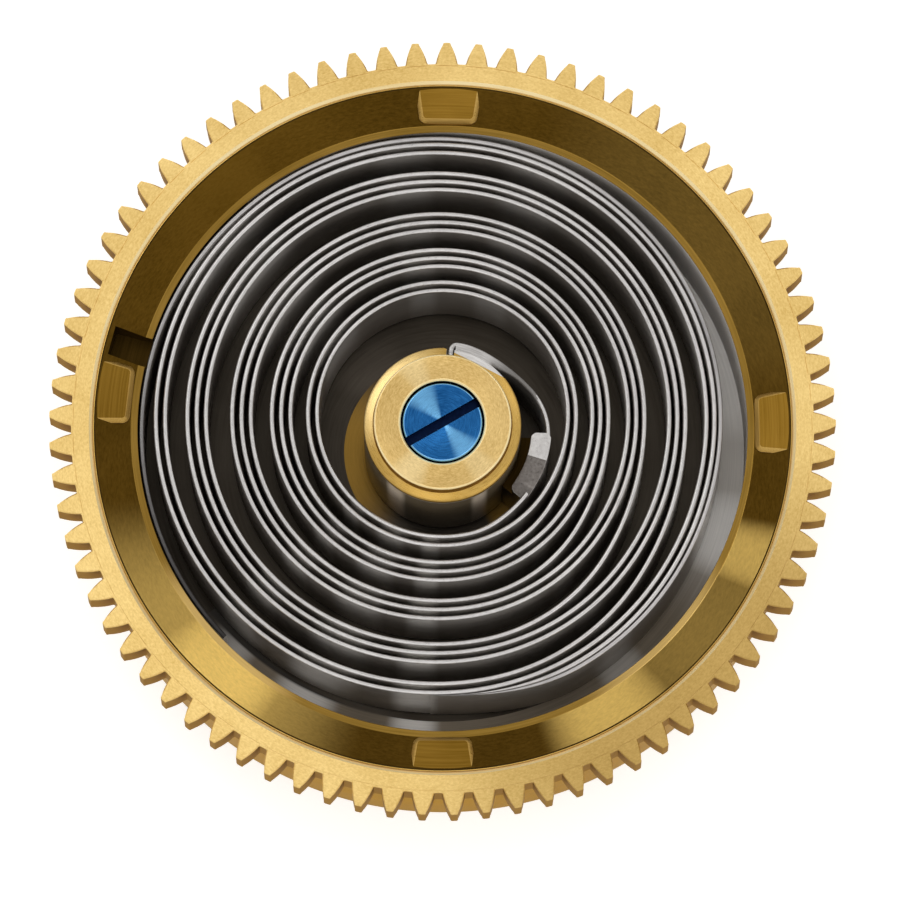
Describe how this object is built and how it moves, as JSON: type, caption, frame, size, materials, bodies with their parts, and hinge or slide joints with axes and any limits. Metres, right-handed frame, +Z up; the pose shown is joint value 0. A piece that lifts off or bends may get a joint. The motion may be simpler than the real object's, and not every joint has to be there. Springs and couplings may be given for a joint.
{
  "type": "mainspring barrel",
  "caption": "Mainspring barrel of a pocket watch, open side up: toothed brass drum, coiled steel mainspring with a slipping bridle, and an arbor with a brass cap and a blued screw",
  "frame": {"origin": "the arbor axis at the plane of the drum's foot ring, on which the barrel stands", "axes": "+Z up along the arbor axis out of the open side, +Y at twelve o'clock on the rim, +X at three o'clock"},
  "size_m": [0.02, 0.02, 0.0052],
  "materials": {
    "brass_drum": "turned, dark inside",
    "brass_ring": "circular brushed",
    "brass_lugs": "brushed",
    "brass_bush": "turned",
    "spring_steel": "rolled strip, bright edges",
    "bridle_steel": "rolled strip, bright edges",
    "rivet_steel": "plain",
    "arbor_steel": "brushed along the axis",
    "brass_cap": "circular brushed",
    "blued_steel": "blued, circular brushed",
    "block_steel": "brushed, bright edges",
    "pin_steel": "plain"
  },
  "bodies": {
    "barrel": {"drum": "brass_drum", "toothed_ring": "brass_ring", "cover_lugs": "brass_lugs", "floor_bush": "brass_bush"},
    "bridle_end": {"bridle": "bridle_steel", "bridle_rivets": "rivet_steel", "mainspring": "spring_steel"},
    "arbor": {"arbor_core": "arbor_steel", "arbor_cap": "brass_cap", "cap_screw": "blued_steel", "catch_block": "block_steel", "catch_pin": "pin_steel"}
  },
  "joints": [
    {"name": "bridle_slip", "type": "hinge", "parent": "barrel", "child": "bridle_end", "pos_m": [0, 0, 0.0027], "axis": [0, 0, 1], "continuous": true},
    {"name": "winding", "type": "hinge", "parent": "bridle_end", "child": "arbor", "pos_m": [0, 0, 0.0027], "axis": [0, 0, 1], "range_deg": [0, 2160], "deforming": ["mainspring"]}
  ]
}
